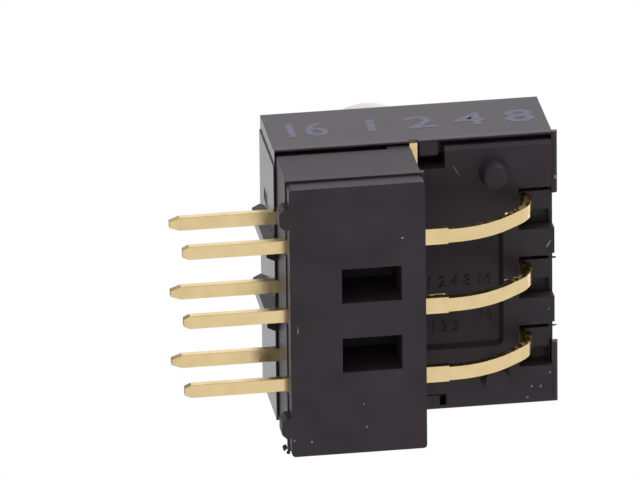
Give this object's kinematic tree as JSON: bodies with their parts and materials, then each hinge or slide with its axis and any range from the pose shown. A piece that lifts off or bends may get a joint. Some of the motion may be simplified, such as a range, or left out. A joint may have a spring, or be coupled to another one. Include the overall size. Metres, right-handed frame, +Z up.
{
  "type": "rotary coded switch",
  "caption": "Side-set rotary coded switch with a plain round shaft, bowed flat terminals and a pin holder behind its flat moulded body.",
  "frame": {"origin": "on the board's surface at the middle pin of the inner row", "axes": "+Z up from the board, +X along the row of pins, +Y from the shaft's end to the pin holder"},
  "size_m": [0.01, 0.0143, 0.0133],
  "materials": {
    "black_housing": "smooth moulded black, slight gloss",
    "black_holder": "smooth moulded black, slight gloss",
    "cream_rotor": "moulded, satin",
    "gold_plate": "gold plated flat strip",
    "spring_steel": "rolled strip",
    "seal_rubber": "matt moulded rubber"
  },
  "bodies": {
    "body": {"housing": "black_housing", "base": "black_housing", "pin_holder": "black_holder", "holder_cover": "black_holder", "detent_spring": "spring_steel", "shaft_seal": "seal_rubber", "terminal_1": "gold_plate", "terminal_2": "gold_plate", "terminal_4": "gold_plate", "terminal_8": "gold_plate", "terminal_common": "gold_plate"},
    "rotor": {"rotor": "cream_rotor", "moving_contact": "gold_plate"}
  },
  "joints": [
    {"name": "rotor_turn", "type": "hinge", "parent": "body", "child": "rotor", "pos_m": [0, -0.0033, 0.00508], "axis": [0, 1, 0], "continuous": true}
  ]
}
